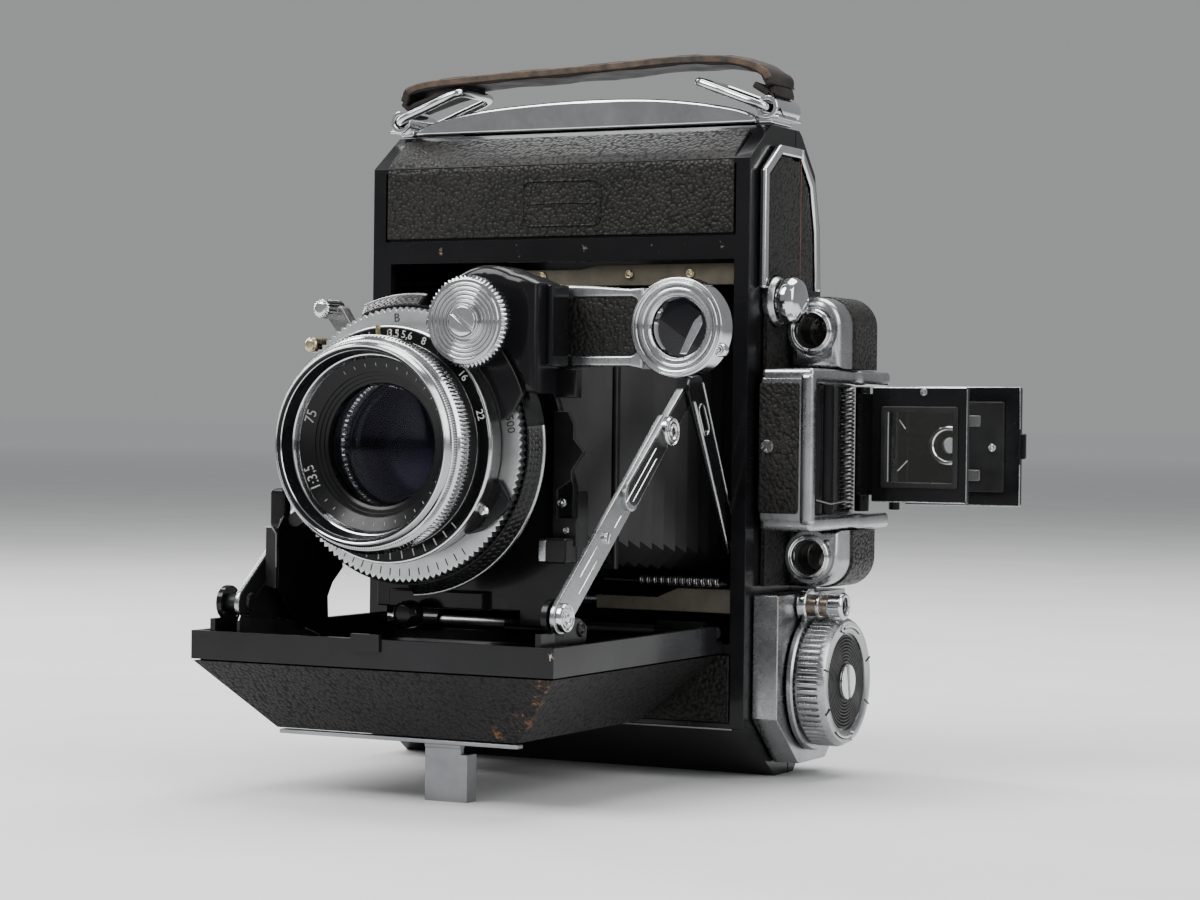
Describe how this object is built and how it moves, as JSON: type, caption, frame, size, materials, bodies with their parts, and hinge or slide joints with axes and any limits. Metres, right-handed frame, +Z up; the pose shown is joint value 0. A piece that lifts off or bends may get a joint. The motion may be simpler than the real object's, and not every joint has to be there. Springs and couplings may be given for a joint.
{
  "type": "folding camera",
  "caption": "Folding roll-film camera, opened: drop bed on struts, bellows, lens in leaf shutter, swinging rangefinder arm, side folding finder, winding knob and leather strap.",
  "frame": {"origin": "middle of the flat end face that the camera stands on, halfway across the width of the body", "axes": "+Z up through the body's long side, the lens looks along -Y, +X is the side with the finder, the winding knob and the shutter release"},
  "size_m": [0.1149, 0.1048, 0.1281],
  "materials": {
    "lacquer": "glossy black lacquer",
    "leather": "pebbled black leather",
    "chrome": "polished chrome plate",
    "satin": "satin chrome",
    "bellows": "black pleated cloth",
    "strap": "worn brown-black leather",
    "glass": "coated glass",
    "dark_metal": "dull blackened metal"
  },
  "bodies": {
    "camera_body": {"body_shell": "lacquer", "upper_leather": "leather", "lower_leather": "leather", "side_leather": "leather", "left_side_leather": "leather", "side_trim": "chrome", "top_plate": "chrome", "film_gate": "lacquer", "tripod_bush": "chrome", "strap_lug_left": "chrome", "strap_lug_right": "chrome", "finder_block": "satin", "upper_lobe": "satin", "lower_lobe": "satin", "knob_base": "satin", "release_socket": "chrome", "bellows_rear": "bellows"},
    "back_door": {"back_door": "lacquer", "back_leather": "leather"},
    "window_cover": {"window_cover": "satin"},
    "pressure_plate": {"pressure_plate": "dark_metal"},
    "back_latch": {"back_latch": "satin"},
    "winding_knob": {"winding_knob": "chrome"},
    "takeup_spool": {"takeup_spool": "dark_metal"},
    "lower_roller": {"lower_roller": "satin"},
    "upper_roller": {"upper_roller": "satin"},
    "carrying_strap": {"carrying_strap": "strap"},
    "strap_ring_left": {"strap_ring_left": "chrome"},
    "strap_ring_right": {"strap_ring_right": "chrome"},
    "bed_hinge": {"bed_hinge_rod": "satin"},
    "bed": {"bed": "lacquer", "bed_leather": "leather", "bed_trim": "satin"},
    "bed_foot": {"bed_foot": "satin"},
    "standard_catch": {"standard_catch": "lacquer"},
    "strut_left": {"strut_left": "satin"},
    "strut_right": {"strut_right": "satin"},
    "link_left": {"link_left": "lacquer"},
    "link_right": {"link_right": "lacquer"},
    "bellows_middle": {"bellows_mid": "bellows"},
    "standard": {"lens_standard": "lacquer", "bellows_front": "bellows", "shutter_case": "lacquer", "rangefinder_housing": "lacquer"},
    "speed_ring": {"speed_ring": "satin"},
    "aperture_ring": {"aperture_ring": "lacquer"},
    "cocking_lever": {"cocking_lever": "satin"},
    "release_lever": {"release_lever": "satin"},
    "shutter_blades": {"shutter_blades": "dark_metal"},
    "focus_cell": {"focus_ring": "chrome", "lens_barrel": "lacquer", "front_glass": "glass"},
    "focus_wheel": {"focus_wheel": "chrome"},
    "rangefinder_arm": {"rangefinder_arm": "satin"},
    "wedge_glass": {"wedge_glass": "glass"},
    "finder_frame": {"finder_frame": "lacquer", "finder_glass": "glass"},
    "finder_eye_plate": {"finder_eye_plate": "lacquer"},
    "bed_button": {"bed_button": "chrome"},
    "shutter_plunger": {"shutter_plunger": "satin"}
  },
  "joints": [
    {"name": "back_open", "type": "hinge", "parent": "camera_body", "child": "back_door", "pos_m": [0, 0.0028, 0.1157], "axis": [1, 0, 0], "range_deg": [0, 90]},
    {"name": "window_cover_slide", "type": "slide", "parent": "back_door", "child": "window_cover", "axis": [1, 0, 0], "range_m": [0, 0.0084]},
    {"name": "pressure_plate_spring", "type": "slide", "parent": "back_door", "child": "pressure_plate", "axis": [0, 1, 0], "range_m": [0, 0.001], "stiffness_N_per_m": 400},
    {"name": "back_latch_slide", "type": "slide", "parent": "back_door", "child": "back_latch", "axis": [1, 0, 0], "range_m": [0, 0.003]},
    {"name": "wind_turn", "type": "hinge", "parent": "camera_body", "child": "winding_knob", "pos_m": [0.043, 0.001, 0.017], "axis": [1, 0, 0], "continuous": true},
    {"name": "takeup_turn", "type": "hinge", "parent": "camera_body", "child": "takeup_spool", "pos_m": [0, 0.001, 0.017], "axis": [1, 0, 0], "continuous": true},
    {"name": "lower_roller_turn", "type": "hinge", "parent": "camera_body", "child": "lower_roller", "pos_m": [0, 0.0076, 0.0294], "axis": [1, 0, 0], "continuous": true},
    {"name": "upper_roller_turn", "type": "hinge", "parent": "camera_body", "child": "upper_roller", "pos_m": [0, 0.0076, 0.0888], "axis": [1, 0, 0], "continuous": true},
    {"name": "strap_lift", "type": "slide", "parent": "camera_body", "child": "carrying_strap", "axis": [0, 0, 1], "range_m": [0, 0.005]},
    {"name": "ring_left_swing", "type": "hinge", "parent": "camera_body", "child": "strap_ring_left", "pos_m": [-0.0374, -0.004, 0.118], "axis": [0, -1, 0], "range_deg": [0, 25]},
    {"name": "ring_right_swing", "type": "hinge", "parent": "camera_body", "child": "strap_ring_right", "pos_m": [0.0374, -0.004, 0.118], "axis": [0, 1, 0], "range_deg": [0, 25]},
    {"name": "bed_fold_first", "type": "hinge", "parent": "camera_body", "child": "bed_hinge", "pos_m": [0, -0.018, 0.026], "axis": [-1, 0, 0], "range_deg": [0, 56]},
    {"name": "bed_fold_last", "type": "hinge", "parent": "bed_hinge", "child": "bed", "pos_m": [0, -0.018, 0.026], "axis": [-1, 0, 0], "range_deg": [0, 34]},
    {"name": "foot_fold", "type": "hinge", "parent": "bed", "child": "bed_foot", "pos_m": [0.0058, -0.0644, 0.0092], "axis": [-1, 0, 0], "range_deg": [0, 90]},
    {"name": "catch_press", "type": "slide", "parent": "standard", "child": "standard_catch", "axis": [0, 1, 0], "range_m": [0, 0.001], "stiffness_N_per_m": 250},
    {"name": "strut_left_fold", "type": "hinge", "parent": "bed", "child": "strut_left", "pos_m": [-0.032, -0.0739, 0.0316], "axis": [-1, 0, 0], "range_deg": [0, 39.5]},
    {"name": "strut_right_fold", "type": "hinge", "parent": "bed", "child": "strut_right", "pos_m": [0.032, -0.0739, 0.0316], "axis": [-1, 0, 0], "range_deg": [0, 39.5]},
    {"name": "link_left_fold", "type": "hinge", "parent": "camera_body", "child": "link_left", "pos_m": [-0.0336, -0.0135, 0.041], "axis": [-1, 0, 0], "range_deg": [0, 33.5]},
    {"name": "link_right_fold", "type": "hinge", "parent": "camera_body", "child": "link_right", "pos_m": [0.0336, -0.0135, 0.041], "axis": [-1, 0, 0], "range_deg": [0, 33.5]},
    {"name": "bellows_slide", "type": "slide", "parent": "camera_body", "child": "bellows_middle", "axis": [0, 1, 0], "range_m": [0, 0.0395], "deforming": ["bellows_rear"]},
    {"name": "standard_slide", "type": "slide", "parent": "bellows_middle", "child": "standard", "axis": [0, 1, 0], "range_m": [0, 0.0199], "deforming": ["bellows_front"]},
    {"name": "speed_turn", "type": "hinge", "parent": "standard", "child": "speed_ring", "pos_m": [0.0004, -0.067, 0.0583], "axis": [0, -1, 0], "range_deg": [0, 120]},
    {"name": "aperture_turn", "type": "hinge", "parent": "standard", "child": "aperture_ring", "pos_m": [0.0004, -0.067, 0.0583], "axis": [0, -1, 0], "range_deg": [0, 75]},
    {"name": "cocking_swing", "type": "hinge", "parent": "standard", "child": "cocking_lever", "pos_m": [0.0004, -0.067, 0.0583], "axis": [0, -1, 0], "range_deg": [0, 20]},
    {"name": "release_swing", "type": "hinge", "parent": "standard", "child": "release_lever", "pos_m": [0.0004, -0.067, 0.0583], "axis": [0, -1, 0], "range_deg": [0, 18], "stiffness_Nm_per_rad": 0.02},
    {"name": "blades_turn", "type": "hinge", "parent": "standard", "child": "shutter_blades", "pos_m": [0.0004, -0.067, 0.0583], "axis": [0, -1, 0], "range_deg": [0, 28]},
    {"name": "focus_turn", "type": "hinge", "parent": "standard", "child": "focus_cell", "pos_m": [0.0004, -0.067, 0.0583], "axis": [0, -1, 0], "range_deg": [0, 135]},
    {"name": "focus_wheel_turn", "type": "hinge", "parent": "standard", "child": "focus_wheel", "pos_m": [0.0159, -0.075, 0.078], "axis": [0, -1, 0], "range_deg": [-315, 0]},
    {"name": "arm_fold", "type": "hinge", "parent": "standard", "child": "rangefinder_arm", "pos_m": [0.0159, -0.059, 0.078], "axis": [0, -1, 0], "range_deg": [0, 180]},
    {"name": "wedge_turn", "type": "hinge", "parent": "rangefinder_arm", "child": "wedge_glass", "pos_m": [0.0455, -0.059, 0.0775], "axis": [0, -1, 0], "range_deg": [0, 136]},
    {"name": "finder_fold", "type": "hinge", "parent": "camera_body", "child": "finder_frame", "pos_m": [0.0495, 0.0078, 0.059], "axis": [0, 0, -1], "range_deg": [0, 90]},
    {"name": "eye_plate_fold", "type": "hinge", "parent": "camera_body", "child": "finder_eye_plate", "pos_m": [0.0505, 0.0212, 0.059], "axis": [0, 0, -1], "range_deg": [0, 90]},
    {"name": "bed_button_press", "type": "slide", "parent": "camera_body", "child": "bed_button", "axis": [-1, 0, 0], "range_m": [0, 0.0012], "stiffness_N_per_m": 300},
    {"name": "plunger_press", "type": "slide", "parent": "camera_body", "child": "shutter_plunger", "axis": [-1, 0, 0], "range_m": [0, 0.0025], "stiffness_N_per_m": 200}
  ],
  "couplings": [
    {"joint": "takeup_turn", "follows": "wind_turn", "ratio": 1},
    {"joint": "ring_left_swing", "follows": "strap_lift", "rad_per_m": 85.2},
    {"joint": "ring_right_swing", "follows": "strap_lift", "rad_per_m": 85.2},
    {"joint": "bellows_slide", "follows": "bed_fold_first", "m_per_rad": 0.040209},
    {"joint": "strut_left_fold", "follows": "bed_fold_first", "ratio": 0.69946},
    {"joint": "strut_right_fold", "follows": "bed_fold_first", "ratio": 0.69946},
    {"joint": "link_left_fold", "follows": "bed_fold_first", "ratio": 0.58929},
    {"joint": "link_right_fold", "follows": "bed_fold_first", "ratio": 0.58929},
    {"joint": "standard_slide", "follows": "bed_fold_last", "m_per_rad": 0.033198},
    {"joint": "focus_wheel_turn", "follows": "focus_turn", "ratio": -2.3243},
    {"joint": "wedge_turn", "follows": "focus_turn", "ratio": 1},
    {"joint": "blades_turn", "follows": "release_swing", "ratio": 1.5},
    {"joint": "eye_plate_fold", "follows": "finder_fold", "ratio": 1}
  ]
}
